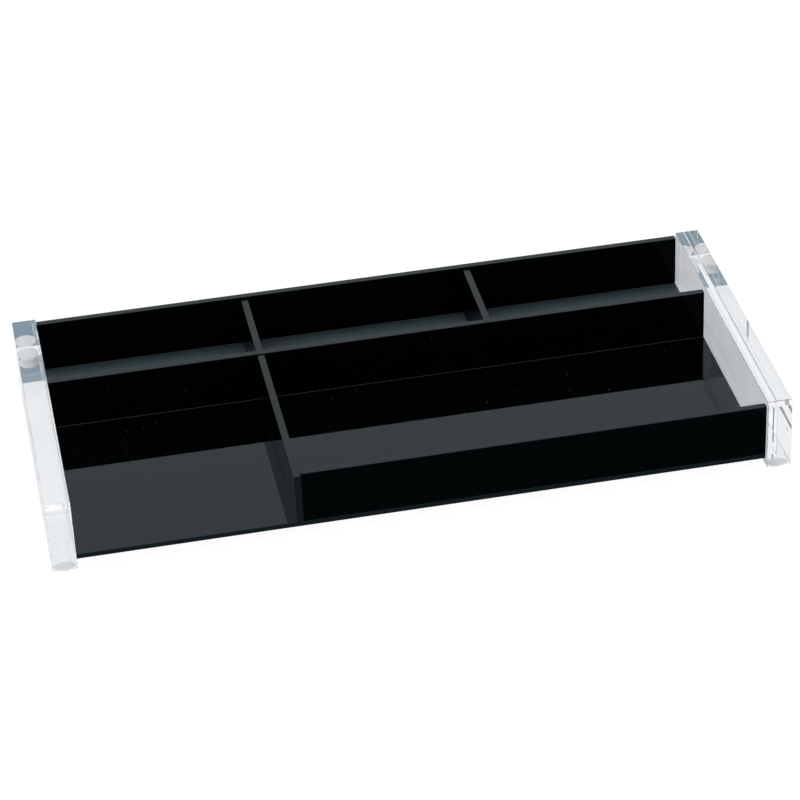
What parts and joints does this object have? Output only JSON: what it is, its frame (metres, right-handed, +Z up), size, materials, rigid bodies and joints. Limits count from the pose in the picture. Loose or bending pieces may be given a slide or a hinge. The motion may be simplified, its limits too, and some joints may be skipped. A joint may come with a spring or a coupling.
{
  "type": "pen holder",
  "caption": "Low desk tray with a compartment for pens, an open-fronted one for note paper and a row of small ones behind, in black acrylic between clear acrylic end bars.",
  "frame": {"origin": "on the desk, under the middle of the tray's outline", "axes": "+X along the tray to the right, +Y to the rear, +Z up"},
  "size_m": [0.2722, 0.129, 0.0297],
  "materials": {
    "black_acrylic": "polished",
    "clear_acrylic": "polished, clear",
    "clear_foot": "smooth, clear"
  },
  "bodies": {
    "root": {"base_plate": "black_acrylic", "rear_wall": "black_acrylic", "middle_wall": "black_acrylic", "front_wall": "black_acrylic", "memo_divider": "black_acrylic", "rear_divider_left": "black_acrylic", "rear_divider_right": "black_acrylic", "left_end_bar": "clear_acrylic", "right_end_bar": "clear_acrylic", "foot_front_left": "clear_foot", "foot_front_right": "clear_foot", "foot_rear_left": "clear_foot", "foot_rear_right": "clear_foot"}
  },
  "joints": []
}
